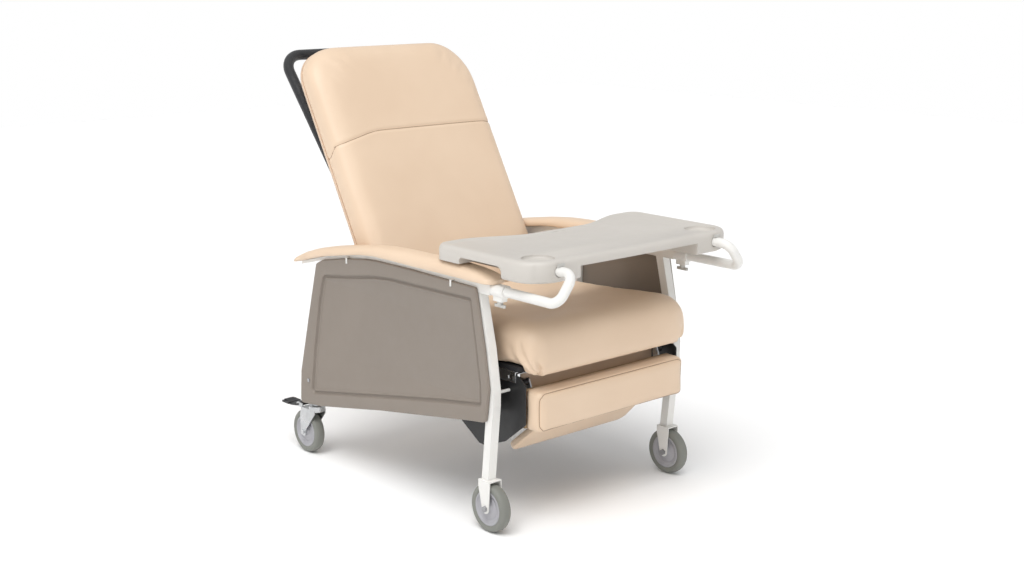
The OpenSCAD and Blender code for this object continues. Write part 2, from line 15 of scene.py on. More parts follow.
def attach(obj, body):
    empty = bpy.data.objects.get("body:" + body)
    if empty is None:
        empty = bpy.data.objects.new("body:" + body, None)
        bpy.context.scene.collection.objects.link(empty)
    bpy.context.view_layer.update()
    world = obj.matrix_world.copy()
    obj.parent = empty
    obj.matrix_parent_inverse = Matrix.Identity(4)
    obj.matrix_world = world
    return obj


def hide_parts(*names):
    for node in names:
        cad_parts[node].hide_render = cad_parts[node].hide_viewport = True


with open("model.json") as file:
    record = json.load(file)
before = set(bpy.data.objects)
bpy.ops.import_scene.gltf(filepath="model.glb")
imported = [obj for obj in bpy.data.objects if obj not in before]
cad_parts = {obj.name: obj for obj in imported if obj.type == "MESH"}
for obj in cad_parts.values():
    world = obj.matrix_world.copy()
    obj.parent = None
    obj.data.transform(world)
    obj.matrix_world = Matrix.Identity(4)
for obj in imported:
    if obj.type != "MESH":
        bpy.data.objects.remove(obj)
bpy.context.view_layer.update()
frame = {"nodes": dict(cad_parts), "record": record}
scene = bpy.context.scene
rad = math.radians

Y0 = -0.3916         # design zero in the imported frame
TRACK = 0.327        # side frames, from the middle
BACK_LEAN = 29.5
BACK_ORIGIN = Vector((0, 0.4614 + Y0, 0.480))
ON_BACK = Matrix.Translation(BACK_ORIGIN) @ Matrix.Rotation(-rad(BACK_LEAN), 4, "X")
ON_BACK_INV = ON_BACK.inverted()
ON_CHAIR = Matrix.Translation((0, Y0, 0))
FOOT_HINGE = Vector((0, -0.033 + Y0, 0.268))
ON_FOOT = Matrix.Translation(FOOT_HINGE) @ Matrix.Rotation(rad(47.8), 4, "X")

# ---------------------------------------------------------------- materials


def nodes_of(name):
    m = bpy.data.materials.new(name)
    m.use_nodes = True
    nt = m.node_tree
    return m, nt, nt.nodes["Principled BSDF"]


def link(nt, a, b):
    nt.links.new(a, b)


def noise_node(nt, coord, scale, detail=4.0, rough=0.55, distort=0.0):
    n = nt.nodes.new("ShaderNodeTexNoise")
    n.inputs["Scale"].default_value = scale
    n.inputs["Detail"].default_value = detail
    n.inputs["Roughness"].default_value = rough
    n.inputs["Distortion"].default_value = distort
    link(nt, coord, n.inputs["Vector"])
    return n.outputs["Fac"]


def remap(nt, value, lo, hi, a, b):
    n = nt.nodes.new("ShaderNodeMapRange")
    n.inputs["From Min"].default_value = lo
    n.inputs["From Max"].default_value = hi
    n.inputs["To Min"].default_value = a
    n.inputs["To Max"].default_value = b
    link(nt, value, n.inputs["Value"])
    return n.outputs["Result"]


def mix_colour(nt, fac, a, b, blend="MIX"):
    n = nt.nodes.new("ShaderNodeMix")
    n.data_type = "RGBA"
    n.blend_type = blend
    for sock, v in ((n.inputs["Factor"], fac), (n.inputs["A"], a), (n.inputs["B"], b)):
        if isinstance(v, (int, float)):
            sock.default_value = v
        elif isinstance(v, tuple):
            sock.default_value = (*v, 1.0)
        else:
            link(nt, v, sock)
    return n.outputs["Result"]


def bump(nt, height, strength, distance, normal=None):
    n = nt.nodes.new("ShaderNodeBump")
    n.inputs["Strength"].default_value = strength
    n.inputs["Distance"].default_value = distance
    link(nt, height, n.inputs["Height"])
    if normal is not None:
        link(nt, normal, n.inputs["Normal"])
    return n.outputs["Normal"]


def coords(nt):
    return nt.nodes.new("ShaderNodeTexCoord").outputs["Object"]


def rounded_edges(nt, radius):
    n = nt.nodes.new("ShaderNodeBevel")
    n.samples = 4
    n.inputs["Radius"].default_value = radius
    return n.outputs["Normal"]


def finish_nodes(nt, bsdf, colour, rough, normal):
    link(nt, colour, bsdf.inputs["Base Color"])
    link(nt, rough, bsdf.inputs["Roughness"])
    link(nt, normal, bsdf.inputs["Normal"])


def vinyl(name, base, dark):
    """Smooth upholstery vinyl: fine pebble grain, soft pulls in the sheet, painted shade in the hollows of the grain.
    """
    m, nt, b = nodes_of(name)
    c = coords(nt)
    v = nt.nodes.new("ShaderNodeTexVoronoi")
    v.feature = "SMOOTH_F1"
    v.inputs["Scale"].default_value = 620
    v.inputs["Smoothness"].default_value = 0.6
    link(nt, c, v.inputs["Vector"])
    grain = v.outputs["Distance"]
    fine = noise_node(nt, c, 1500, 2.0)
    pull = noise_node(nt, c, 9, 3.0, 0.5, 0.6)
    cloud = noise_node(nt, c, 3.2, 3.0)
    tone = mix_colour(nt, remap(nt, cloud, 0.35, 0.65, 0.0, 0.45), base, dark)
    # painted shade: the tone darkens where the grain is low, in its hollows
    tone = mix_colour(nt, remap(nt, grain, 0.15, 0.75, 0.10, 0.0), tone, dark)
    rough = remap(nt, noise_node(nt, c, 14, 4.0), 0.3, 0.7, 0.40, 0.50)
    n = bump(nt, pull, 0.22, 0.004)
    n = bump(nt, grain, 0.30, 0.00016, n)
    n = bump(nt, fine, 0.18, 0.00008, n)
    finish_nodes(nt, b, tone, rough, n)
    b.inputs["Specular IOR Level"].default_value = 0.42
    b.inputs["Coat Weight"].default_value = 0.12
    b.inputs["Coat Roughness"].default_value = 0.28
    return m


def powder(name, base, rough=0.38, edge=0.0012, speck=0.05):
    """Powder-coated steel: orange-peel ripple, small tone changes, duller rubbed patches."""
    m, nt, b = nodes_of(name)
    c = coords(nt)
    peel = noise_node(nt, c, 420, 2.0)
    tone_f = remap(nt, noise_node(nt, c, 11, 5.0), 0.3, 0.7, 0.0, 1.0)
    darker = tuple(x * (1 - speck) for x in base)
    tone = mix_colour(nt, tone_f, base, darker)
    r = remap(nt, noise_node(nt, c, 23, 4.0), 0.3, 0.7, rough - 0.05, rough + 0.07)
    n = bump(nt, peel, 0.16, 0.00025, rounded_edges(nt, edge))
    finish_nodes(nt, b, tone, r, n)
    b.inputs["Coat Weight"].default_value = 0.25
    b.inputs["Coat Roughness"].default_value = 0.2
    return m


def plated(name, base, rough=0.3, edge=0.0008):
    """Zinc or nickel plate: brushed along the part, cloudy passivation."""
    m, nt, b = nodes_of(name)
    c = coords(nt)
    mp = nt.nodes.new("ShaderNodeMapping")
    mp.inputs["Scale"].default_value = (1.0, 0.06, 1.0)
    link(nt, c, mp.inputs["Vector"])
    streak = noise_node(nt, mp.outputs["Vector"], 700, 3.0)
    cloud = noise_node(nt, c, 38, 5.0)
    tone = mix_colour(nt, remap(nt, cloud, 0.35, 0.65, 0.0, 0.5), base, tuple(x * 0.72 for x in base))
    r = remap(nt, cloud, 0.3, 0.7, rough - 0.07, rough + 0.1)
    n = bump(nt, streak, 0.12, 0.0001, rounded_edges(nt, edge))
    finish_nodes(nt, b, tone, r, n)
    b.inputs["Metallic"].default_value = 1.0
    return m


def plastic(name, base, rough=0.45, grain=0.25, scale=900, edge=0.0015, vary=0.06):
    """Moulded plastic with a fine spark-eroded texture and faint flow tone."""
    m, nt, b = nodes_of(name)
    c = coords(nt)
    texture = noise_node(nt, c, scale, 3.0, 0.6)
    flow = noise_node(nt, c, 2.4, 3.0, 0.5, 0.8)
    tone = mix_colour(nt, remap(nt, flow, 0.3, 0.7, 0.0, 1.0), base, tuple(x * (1 - vary) for x in base))
    r = remap(nt, noise_node(nt, c, 30, 4.0), 0.3, 0.7, rough - 0.04, rough + 0.06)
    n = bump(nt, texture, grain, 0.00012, rounded_edges(nt, edge))
    finish_nodes(nt, b, tone, r, n)
    return m


def foam(name, base):
    """Closed-cell foam grip: matt skin, pores with painted shade in them, faint pinch marks."""
    m, nt, b = nodes_of(name)
    c = coords(nt)
    v = nt.nodes.new("ShaderNodeTexVoronoi")
    v.inputs["Scale"].default_value = 900
    link(nt, c, v.inputs["Vector"])
    pores = v.outputs["Distance"]
    # painted shade: the tone darkens towards the middle of each pore
    tone = mix_colour(nt, remap(nt, pores, 0.0, 0.6, 0.5, 0.0), base, tuple(x * 0.45 for x in base))
    r = remap(nt, noise_node(nt, c, 40, 4.0), 0.3, 0.7, 0.55, 0.72)
    n = bump(nt, noise_node(nt, c, 28, 3.0), 0.3, 0.0012)
    n = bump(nt, pores, 0.5, 0.0002, n)
    finish_nodes(nt, b, tone, r, n)
    b.inputs["Sheen Weight"].default_value = 0.25
    return m


def cloth_mat(name, base):
    """Woven dust cloth, with a painted highlight on the raised crossings of the weave."""
    m, nt, b = nodes_of(name)
    c = coords(nt)
    waves = []
    for axis in ("X", "Y"):
        w = nt.nodes.new("ShaderNodeTexWave")
        w.bands_direction = axis
        w.inputs["Scale"].default_value = 260
        link(nt, c, w.inputs["Vector"])
        waves.append(w.outputs["Fac"])
    mul = nt.nodes.new("ShaderNodeMath")
    mul.operation = "MULTIPLY"
    link(nt, waves[0], mul.inputs[0])
    link(nt, waves[1], mul.inputs[1])
    # painted highlight: the tone lightens where both waves are high, on the raised crossings
    tone = mix_colour(nt, remap(nt, mul.outputs[0], 0, 1, 0, 0.5), base, tuple(x * 2.2 for x in base))
    r = remap(nt, noise_node(nt, c, 20), 0.3, 0.7, 0.85, 0.95)
    n = bump(nt, mul.outputs[0], 0.4, 0.0004)
    finish_nodes(nt, b, tone, r, n)
    return m


def wood(name, base, dark):
    m, nt, b = nodes_of(name)
    c = coords(nt)
    w = nt.nodes.new("ShaderNodeTexWave")
    w.bands_direction = "Z"
    w.inputs["Scale"].default_value = 18
    w.inputs["Distortion"].default_value = 6
    w.inputs["Detail"].default_value = 3
    link(nt, c, w.inputs["Vector"])
    tone = mix_colour(nt, w.outputs["Fac"], base, dark)
    r = remap(nt, noise_node(nt, c, 60), 0.3, 0.7, 0.55, 0.7)
    n = bump(nt, w.outputs["Fac"], 0.2, 0.0004, rounded_edges(nt, 0.001))
    finish_nodes(nt, b, tone, r, n)
    return m


MAT = {
    "vinyl": vinyl("vinyl_tan", (0.785, 0.610, 0.452), (0.690, 0.510, 0.360)),
    "back_vinyl": vinyl("vinyl_tan_back", (0.74, 0.57, 0.43), (0.65, 0.48, 0.35)),
    "white": powder("powder_white", (0.84, 0.83, 0.80)),
    "black": powder("paint_black", (0.008, 0.008, 0.009), 0.55),
    "zinc": plated("zinc_plate", (0.62, 0.63, 0.64)),
    "steel": plated("fastener_steel", (0.42, 0.42, 0.43), 0.36),
    "panel": plastic("panel_taupe", (0.256, 0.218, 0.184), 0.5, 0.35, 700),
    "tray": plastic("tray_grey", (0.600, 0.568, 0.525), 0.42, 0.30, 620),
    "clip": plastic("clip_plastic", (0.56, 0.55, 0.52), 0.4, 0.1),
    "hub": plastic("hub_grey", (0.42, 0.415, 0.44), 0.38, 0.12),
    "pedal": plastic("pedal_black", (0.022, 0.022, 0.025), 0.42, 0.3),
    "tyre": plastic("tyre_grey", (0.235, 0.24, 0.215), 0.55, 0.3, 500, 0.001, 0.15),
    "grip": foam("grip_foam", (0.011, 0.012, 0.015)),
    # painted shade: a dark brown for the strands laid in the seams, standing in for the shade in the sewn grooves
    "painted_seam_shade": plastic("seam_shade", (0.40, 0.27, 0.18), 0.7, 0.2),
    "dust": cloth_mat("dust_cloth", (0.018, 0.018, 0.02)),
    "wood": wood("plywood", (0.52, 0.38, 0.24), (0.40, 0.27, 0.15)),
}

SLOT_MAT = {
    "frame_paint": "white", "black_metal": "black", "zinc": "zinc", "vinyl": "vinyl", "plywood": "wood",
    "board_cover": "dust", "back_vinyl": "back_vinyl", "panel_plastic": "panel", "tray_plastic": "tray",
    "grip_foam": "grip", "fasteners": "steel", "clip_plastic": "clip", "tyre": "tyre", "hub_plastic": "hub",
    "pedal_plastic": "pedal",
}
for sub in frame["record"]["subparts"]:
    cad = frame["nodes"][sub["node"]]
    m = MAT[SLOT_MAT[sub["material_slot"]]]
    if cad.data.materials:
        for i in range(len(cad.data.materials)):
            cad.data.materials[i] = m
    else:
        cad.data.materials.append(m)

# the cross plate at the front of the carrier is covered with vinyl
PLATE_Y, PLATE_Z = (-0.0125, -0.0085), (0.350, 0.398)
cad = frame["nodes"]["leg_rest_carrier"]
cad.data.materials.append(MAT["back_vinyl"])
for poly in cad.data.polygons:
    at = cad.matrix_world @ poly.center
    if PLATE_Y[0] < at.y - Y0 < PLATE_Y[1] and PLATE_Z[0] < at.z < PLATE_Z[1]:
        poly.material_index = len(cad.data.materials) - 1

# ---------------------------------------------------------------- mesh helpers


def rounded(points, radii, n=6):
    """A polygon with its corners rounded; radii is one number or one for each corner."""
    out, count = [], len(points)
    for i, p in enumerate(points):
        q = Vector(p)
        a = (Vector(points[i - 1]) - q).normalized()
        b = (Vector(points[(i + 1) % count]) - q).normalized()
        r = radii[i] if isinstance(radii, (list, tuple)) else radii
        half = math.acos(max(-1, min(1, a.dot(b)))) / 2
        c = q + (a + b).normalized() * (r / math.sin(half))
        s, e = q + a * (r / math.tan(half)) - c, q + b * (r / math.tan(half)) - c
        t0, t1 = math.atan2(s.y, s.x), math.atan2(e.y, e.x)
        d = (t1 - t0 + math.pi) % (2 * math.pi) - math.pi
        out += [c + r * Vector((math.cos(t0 + d * k / n), math.sin(t0 + d * k / n))) for k in range(n + 1)]
    return out


def area2(poly):
    return sum(poly[i - 1].x * p.y - p.x * poly[i - 1].y for i, p in enumerate(poly)) / 2


def inset(poly, d):
    """A closed smooth outline moved inwards by d."""
    if d == 0:
        return [p.copy() for p in poly]
    side = 1 if area2(poly) > 0 else -1
    out, count = [], len(poly)
    for i, p in enumerate(poly):
        a = (p - poly[i - 1])
        b = (poly[(i + 1) % count] - p)
        a = a.normalized() if a.length > 1e-9 else b.normalized()
        b = b.normalized() if b.length > 1e-9 else a
        na, nb = Vector((-a.y, a.x)), Vector((-b.y, b.x))
        m = (na + nb).normalized()
        out.append(p + m * (side * d / max(0.35, m.dot(na))))
    return out


def resample(poly, step):
    """A closed outline with its long sides cut into pieces no longer than step."""
    out = []
    for i, p in enumerate(poly):
        q = poly[(i + 1) % len(poly)]
        n = max(1, math.ceil((q - p).length / step))
        out += [p.lerp(q, k / n) for k in range(n)]
    return out


def build(name, verts, faces, matrix=None, sharp=38.0, material=None):
    me = bpy.data.meshes.new(name)
    me.from_pydata([tuple(v) for v in verts], [], faces)
    bm = bmesh.new()
    bm.from_mesh(me)
    bmesh.ops.remove_doubles(bm, verts=bm.verts, dist=1e-6)
    bmesh.ops.recalc_face_normals(bm, faces=bm.faces)
    if matrix is not None:
        bm.transform(matrix)
    mark_sharp(bm, sharp)
    bm.to_mesh(me)
    bm.free()
    ob = bpy.data.objects.new(name, me)
    scene.collection.objects.link(ob)
    if material:
        me.materials.append(MAT[material])
    return ob


def mark_sharp(bm, degrees):
    for f in bm.faces:
        f.smooth = True
    for e in bm.edges:
        e.smooth = not (len(e.link_faces) == 2 and e.calc_face_angle(0) > rad(degrees))


def stack(name, outline, levels, plane="XY", matrix=None, material=None, sharp=38.0, hole=None):
    """A shell of rings: levels are (inset, height), closed at both ends. plane says which axes the outline is in.
    hole = (outline2, levels2) leaves the last face open around a second outline and goes on with its rings."""
    verts, faces = [], []

    def put(p, h):
        verts.append((p.x, p.y, h) if plane == "XY" else (h, p.x, p.y) if plane == "YZ" else (p.x, h, p.y))

    def rings(base, lv):
        first = len(verts)
        for d, h in lv:
            for p in inset(base, d):
                put(p, h)
        n = len(base)
        for k in range(len(lv) - 1):
            for i in range(n):
                a, b = first + k * n + i, first + k * n + (i + 1) % n
                faces.append((a, b, b + n, a + n))
        return first, n

    def cap(loops):
        flat = [[Vector((*p, 0)) for p in loop] for _, loop in loops]
        index = [i for first, loop in loops for i in range(first, first + len(loop))]
        faces.extend(tuple(index[i] for i in t) for t in tessellate_polygon(flat))

    first, n = rings(outline, levels)
    cap([(first, inset(outline, levels[0][0]))])
    last = first + (len(levels) - 1) * n
    if hole:
        f2, n2 = rings(hole[0], hole[1])
        cap([(last, inset(outline, levels[-1][0])), (f2, inset(hole[0], hole[1][0][0]))])
        cap([(f2 + (len(hole[1]) - 1) * n2, inset(hole[0], hole[1][-1][0]))])
    else:
        cap([(last, inset(outline, levels[-1][0]))])
    return build(name, verts, faces, matrix, sharp, material)


def lathe(name, profile, centre, material, segments=96, sharp=30.0):
    """A ring turned about an X axis through centre; profile is (radius, x) all round its section."""
    verts, faces, n = [], [], len(profile)
    for s in range(segments):
        a = 2 * math.pi * s / segments
        verts += [(centre[0] + x, centre[1] + r * math.cos(a), centre[2] + r * math.sin(a)) for r, x in profile]
    for s in range(segments):
        for i in range(n):
            a, b = s * n + i, s * n + (i + 1) % n
            c, d = ((s + 1) % segments) * n + (i + 1) % n, ((s + 1) % segments) * n + i
            faces.append((a, b, c, d))
    return build(name, verts, faces, None, sharp, material)


def swept(name, profile, half, end_r, matrix=None, steps=6):
    """A profile in (y, z) carried along X to +-half with its ends rounded by end_r."""
    verts, faces, n = [], [], len(profile)
    angles = [math.pi / 2 * k / steps for k in range(steps + 1)]
    xs = [(-half + end_r * (1 - math.cos(a)), end_r * (1 - math.sin(a))) for a in angles]
    spans = xs + [(-x, d) for x, d in reversed(xs)]
    for x, d in spans:
        verts += [(x, p.x, p.y) for p in inset(profile, d)]
    for k in range(len(spans) - 1):
        for i in range(n):
            a, b = k * n + i, k * n + (i + 1) % n
            faces.append((a, b, b + n, a + n))
    faces += [tuple(range(n)), tuple(range((len(spans) - 1) * n, len(spans) * n))]
    return build(name, verts, faces, matrix)


def evaluated(ob):
    """Applies the modifiers."""
    deps = bpy.context.evaluated_depsgraph_get()
    me = bpy.data.meshes.new_from_object(ob.evaluated_get(deps), depsgraph=deps)
    old = ob.data
    ob.modifiers.clear()
    ob.data = me
    bpy.data.meshes.remove(old)


def remeshed(ob, voxel):
    m = ob.modifiers.new("remesh", "REMESH")
    m.mode = "VOXEL"
    m.voxel_size = voxel
    m.use_smooth_shade = True
    evaluated(ob)


def cut(ob, *cutters):
    for c in cutters:
        m = ob.modifiers.new("cut", "BOOLEAN")
        m.operation = "DIFFERENCE"
        m.solver = "EXACT"
        m.object = c
    evaluated(ob)
    for c in cutters:
        bpy.data.objects.remove(c)


def smooth_shade(ob, degrees=38.0):
    bm = bmesh.new()
    bm.from_mesh(ob.data)
    mark_sharp(bm, degrees)
    bm.to_mesh(ob.data)
    bm.free()


def bevelled(ob, width, segments=3, angle=40):
    m = ob.modifiers.new("bevel", "BEVEL")
    m.width = width
    m.segments = segments
    m.limit_method = "ANGLE"
    m.angle_limit = rad(angle)
    m.use_clamp_overlap = True
    evaluated(ob)
    smooth_shade(ob)


def box_cutter(lo, hi):
    verts = [(x, y, z) for x in (lo[0], hi[0]) for y in (lo[1], hi[1]) for z in (lo[2], hi[2])]
    faces = [(0, 1, 3, 2), (4, 6, 7, 5), (0, 4, 5, 1), (2, 3, 7, 6), (0, 2, 6, 4), (1, 5, 7, 3)]
    return build("cutter", verts, faces)


def rod_cutter(a, b, r, n=24):
    a, b = Vector(a), Vector(b)
    z = (b - a).normalized()
    x = z.orthogonal().normalized()
    y = z.cross(x)
    angles = [2 * math.pi * k / n for k in range(n)]
    verts = [p + r * (x * math.cos(t) + y * math.sin(t)) for p in (a, b) for t in angles]
    faces = [(k, (k + 1) % n, n + (k + 1) % n, n + k) for k in range(n)]
    faces += [tuple(range(n)), tuple(range(n, 2 * n))]
    return build("cutter", verts, faces)


# ---------------------------------------------------------------- padded pieces

SOFT = []  # pieces to inflate together: (object, cap, pinned test)
PRESSURE = 4.0
CLOTH_FRAMES = 20
SOFT_FRONT = 0.10  # the seat's corners soften in front of this


def pad(ob, voxel, cap, pinned, soften=0):
    """Remeshes a closed form and puts it on the list of pieces to inflate."""
    remeshed(ob, voxel)
    if soften:
        # corners soften like foam under a sewn cover
        front = [v.index for v in ob.data.vertices if v.co.y - Y0 < SOFT_FRONT]
        relax(ob, soften, 0.5, set(front))
    SOFT.append((ob, cap, pinned))


def blow_up():
    """Cloth blows up every pad at once, and how far a point may move is capped."""
    start = {}
    for ob, _, pinned in SOFT:
        start[ob.name] = [v.co.copy() for v in ob.data.vertices]
        group = ob.vertex_groups.new(name="held")
        held = [v.index for v in ob.data.vertices if pinned(v.co)]
        group.add(held, 1.0, "REPLACE")
        c = ob.modifiers.new("cloth", "CLOTH").settings
        c.quality = 5
        c.mass = 0.35
        c.tension_stiffness = c.compression_stiffness = 18
        c.shear_stiffness = 8
        c.bending_stiffness = 1.2
        c.use_pressure = True
        c.uniform_pressure_force = PRESSURE
        c.effector_weights.gravity = 0
        c.vertex_group_mass = "held"
    for f in range(1, CLOTH_FRAMES + 1):
        scene.frame_set(f)
    deps = bpy.context.evaluated_depsgraph_get()
    for ob, cap, _ in SOFT:
        moved = [v.co.copy() for v in ob.evaluated_get(deps).data.vertices]
        for v, a, b in zip(ob.data.vertices, start[ob.name], moved):
            d = b - a
            if d.length > cap:
                d *= cap * (1 + 0.12 * (1 - cap / d.length)) / d.length
            v.co = a + d
        ob.modifiers.clear()
        ob.vertex_groups.clear()
    scene.frame_set(1)


def inflate():
    blow_up()
    for ob, *_ in SOFT:
        relax(ob, 3)
        s = ob.modifiers.new("sub", "SUBSURF")
        s.levels = s.render_levels = 1
        evaluated(ob)
        for p in ob.data.polygons:
            p.use_smooth = True


def relax(ob, times, factor=0.5, only=None):
    """Smooths the vertices, or only those whose index is in a set."""
    bm = bmesh.new()
    bm.from_mesh(ob.data)
    some = [v for v in bm.verts if only is None or v.index in only]
    for _ in range(times):
        bmesh.ops.smooth_vert(bm, verts=some, factor=factor,
                              use_axis_x=True, use_axis_y=True, use_axis_z=True)
    bm.to_mesh(ob.data)
    bm.free()


def shape(ob, move):
    """Moves each vertex by move(co, normal), a vector or None."""
    me = ob.data
    normals = [v.normal.copy() for v in me.vertices]
    for v, n in zip(me.vertices, normals):
        d = move(v.co, n)
        if d is not None:
            v.co += d
    me.update()


def gauss(x, w):
    return math.exp(-(x / w) ** 2)


def smoothstep(a, b, x):
    t = max(0.0, min(1.0, (x - a) / (b - a)))
    return t * t * (3 - 2 * t)


# back cushion, built in the back's own frame: x across, y out of the rear, z up along it
SEAM_Z = 0.515
BACK_REAR = 0.056  # rear edge of the cushion


def seam_height(x, y):
    """The seam runs level across the front, drops towards the right side, and again where it goes to the rear."""
    return SEAM_Z - (0.026 * smoothstep(0.13, 0.290, -x) + 0.018 * smoothstep(0.0, 0.045, y))


def back_plan(h, z0, z1, r_top, r_low, n=12):
    return rounded([(-h, z0), (h, z0), (h, z1), (-h, z1)], [r_low, r_low, r_top, r_top], n)


def even(poly, corner, counts):
    """An outline of four arcs of corner + 1 points, with its four straight sides cut into counts pieces."""
    out = []
    for k in range(4):
        arc = poly[k * (corner + 1):(k + 1) * (corner + 1)]
        q = poly[((k + 1) * (corner + 1)) % len(poly)]
        out += arc + [arc[-1].lerp(q, i / counts[k]) for i in range(1, counts[k])]
    return out


def loft(name, levels, crown, matrix=None):
    """Outlines of equal length at rising heights along y, closed at both ends; the last end is crowned."""
    verts, faces, n = [], [], len(levels[0][1])
    for y, poly in levels:
        verts += [(p.x, y, p.y) for p in poly]
    y, poly = levels[-1]
    mid = sum(poly, Vector((0, 0))) / n
    for f in (0.9, 0.75, 0.55, 0.35, 0.15):
        verts += [(mid.x + (p.x - mid.x) * f, y - crown * (1 - f * f), mid.y + (p.y - mid.y) * f) for p in poly]
    rings = len(verts) // n
    for k in range(rings - 1):
        for i in range(n):
            a, b = k * n + i, k * n + (i + 1) % n
            faces.append((a, b, b + n, a + n))
    faces += [tuple(range(n)), tuple(range((rings - 1) * n, rings * n))]
    return build(name, verts, faces, matrix)


# outlines from the rear to the front: (y, half width, bottom, top, top corner, lower corner)
BACK_LEVELS = [(0.0556, 0.2880, 0.010, 0.7985, 0.104, 0.020), (0.0500, 0.2900, 0.008, 0.8005, 0.105, 0.021),
               (0.0300, 0.2915, 0.008, 0.8010, 0.110, 0.022), (0.0140, 0.2910, 0.008, 0.7965, 0.119, 0.024),
               (0.0030, 0.2880, 0.010, 0.7900, 0.130, 0.030), (-0.0050, 0.2815, 0.014, 0.7810, 0.140, 0.036),
               (-0.0105, 0.2710, 0.024, 0.7700, 0.146, 0.040), (-0.0140, 0.2550, 0.040, 0.7540, 0.150, 0.045)]
BACK_CORNER, BACK_COUNTS = 12, (26, 30, 20, 30)
back = loft("back_cushion_cover",
            [(y, even(back_plan(h, z0, z1, r, rl), BACK_CORNER, BACK_COUNTS)) for y, h, z0, z1, r, rl in BACK_LEVELS],
            0.004)


def back_heel(co, _):
    """The foot of the cushion draws back where it meets the seat."""
    low = 1 - smoothstep(0.050, 0.150, co.z)
    return Vector((0, 0.016 * low * (1 - smoothstep(-0.012, 0.030, co.y)), 0))


shape(back, back_heel)
pad(back, 0.0065, 0.004, lambda p: p.y > 0.0525)

# seat cushion: a big front roll, a top that falls to the rear
SEAT_CORNERS = [(-0.1115, 0.4025), (-0.0500, 0.4025), (-0.0470, 0.426), (0.434, 0.426), (0.438, 0.478),
                (0.460, 0.492), (0.460, 0.502), (-0.0600, 0.5355), (-0.1115, 0.5175)]
SEAT_RADII = [0.026, 0.003, 0.004, 0.010, 0.004, 0.004, 0.006, 0.075, 0.048]
SEAT_VOXEL = 0.007
SEAT_BASE, SEAT_REAR = 0.4290, 0.44  # the cover is held under the first and behind the second
seat = swept("seat_cushion_cover", resample(rounded(SEAT_CORNERS, SEAT_RADII, 8), 0.02), 0.2820, 0.008, ON_CHAIR, 3)


def round_ends(co, _):
    """The two ends of the roll are round: its section closes in towards them, most at the front."""
    x, y, z = abs(co.x), co.y - Y0, co.z
    t = max(0.0, min(1.0, (x - 0.226) / 0.056))
    w = 1 - math.sqrt(max(0.0, 1 - t * t))
    front = 1 - smoothstep(-0.06, 0.05, y)
    up = (0.026 + 0.016 * front) * w * smoothstep(0.47, 0.52, z)
    down = 0.036 * front * w * (1 - smoothstep(0.42, 0.47, z))
    return Vector((0, 0.030 * front * w * (1 - smoothstep(-0.11, -0.03, y)), down - up))


remeshed(seat, SEAT_VOXEL)
shape(seat, round_ends)
pad(seat, SEAT_VOXEL, 0.005, lambda p: (p.z < SEAT_BASE and p.y - Y0 > -0.04) or p.y - Y0 > SEAT_REAR, soften=8)

# calf pad: a boxed cushion
CALF_CORNERS = [(-0.1075, 0.2655), (-0.0555, 0.2655), (-0.0555, 0.3715), (-0.1075, 0.3715)]
CALF_RADII = [0.012, 0.003, 0.003, 0.012]
WELT_HALF, WELT_LOW, WELT_HIGH = 0.2565, 0.2710, 0.3655  # the sewn rectangle round its front face
WELT_MID, WELT_RISE = 0.3182, 0.0472                     # its middle height and half its height
calf = swept("calf_pad_cover", resample(rounded(CALF_CORNERS, CALF_RADII, 6), 0.015), 0.2645, 0.017, ON_CHAIR)
pad(calf, 0.0045, 0.002, lambda p: p.y - Y0 > -0.060)

inflate()


def seam_back(co, n):
    """A sewn groove across the cushion, with a puckered swell on both sides of it."""
    q = ON_BACK_INV @ co
    d = q.z - seam_height(q.x, q.y)
    if abs(d) > 0.05 or q.y > BACK_REAR:
        return None
    pucker = 0.35 + 0.65 * abs(noise.noise(Vector((q.x * 55, 0, 3.1))))
    return n * (-0.0024 * gauss(d, 0.0034) + 0.0008 * pucker * gauss(abs(d) - 0.012, 0.007))


back.data.transform(ON_BACK)
back.data.update()
shape(back, seam_back)


def seat_folds(co, n):
    """Vinyl gathered over the front corners: soft folds on the side of the roll, a dart at the lower corner."""
    x, y, z = abs(co.x), co.y - Y0, co.z
    out = 0.0
    corner = smoothstep(0.215, 0.262, x) * (1 - smoothstep(-0.05, 0.03, y))
    if corner > 0:
        # folds fan out from the lower corner
        a = math.atan2(z - 0.385, y + 0.105)
        low = 1 - smoothstep(0.455, 0.525, z)
        out += 0.0024 * corner * low * math.sin(a * 15 + 2.4 * noise.noise(Vector((y * 22, z * 14, 4.2))))
    if y < -0.055:
        # the dart leans outwards as it rises, and its two lips stand proud
        d = (x - 0.243) - 0.42 * (z - 0.405)
        rise = (1 - smoothstep(0.425, 0.462, z))
        out += rise * (-0.0062 * gauss(d, 0.0036) + 0.0020 * gauss(abs(d) - 0.011, 0.006))
    # long soft waves over the top of the roll
    top = smoothstep(0.47, 0.53, z) * (1 - smoothstep(0.0, 0.16, y))
    out += 0.0016 * top * noise.noise(Vector((co.x * 7, y * 5, 1.3)))
    return n * out if out else None


shape(seat, seat_folds)


def calf_seams(co, n):
    """A welt where the front panel meets the boxing, and a soft crown inside it."""
    x, y, z = abs(co.x), co.y - Y0, co.z
    if y > -0.06:
        return None
    end = smoothstep(0.235, 0.262, x)
    # distance inside the sewn rectangle of the front face
    ring = max(x - WELT_HALF, abs(z - WELT_MID) - WELT_RISE)
    out = 0.0012 * gauss(ring - 0.005, 0.0035) - 0.0012 * gauss(ring, 0.003) if n.y < -0.5 else 0.0
    if abs(n.y) > 0.8 and ring < 0:
        out += 0.0016 * (1 - smoothstep(0.16, 0.26, x)) + 0.0012 * noise.noise(Vector((co.x * 6, 0, z * 9)))
    return n * (out + 0.0006 * end * noise.noise(Vector((x * 60, y * 30, z * 60))))


shape(calf, calf_seams)

